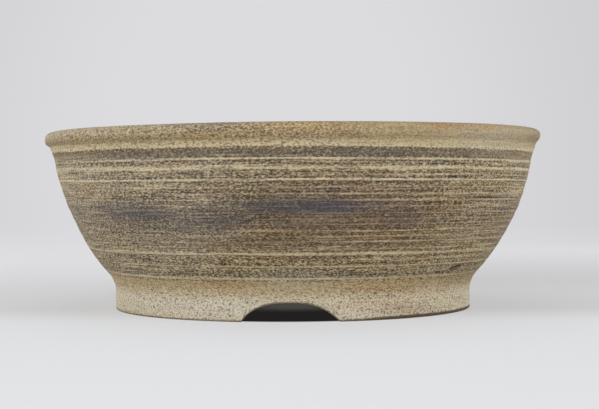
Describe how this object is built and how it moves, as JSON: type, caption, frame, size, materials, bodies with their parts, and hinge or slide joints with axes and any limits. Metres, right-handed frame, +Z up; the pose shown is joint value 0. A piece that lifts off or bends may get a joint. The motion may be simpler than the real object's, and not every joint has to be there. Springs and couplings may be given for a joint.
{
  "type": "ikebana suiban",
  "caption": "Round stoneware flower basin with an everted lip, a flared wall and a notched foot ring, with a pin holder in a rubber ring that lifts out.",
  "frame": {"origin": "middle of the circle that the foot ring stands on", "axes": "+Z up through the middle of the basin; -Y towards the viewer and through the front cut-out of the foot"},
  "size_m": [0.2999, 0.3, 0.106],
  "materials": {
    "stoneware": "matte",
    "lead": "matte",
    "brass": "satin",
    "rubber": "matte"
  },
  "bodies": {
    "basin": {"basin": "stoneware"},
    "rubber_ring": {"kenzan_rubber_ring": "rubber"},
    "pin_holder": {"kenzan_base": "lead", "kenzan_needles": "brass"}
  },
  "joints": [
    {"name": "kenzan_lift", "type": "slide", "parent": "basin", "child": "rubber_ring", "axis": [0, 0, 1], "range_m": [0, 0.12]},
    {"name": "ring_release", "type": "slide", "parent": "rubber_ring", "child": "pin_holder", "axis": [0, 0, 1], "range_m": [0, 0.012]}
  ]
}
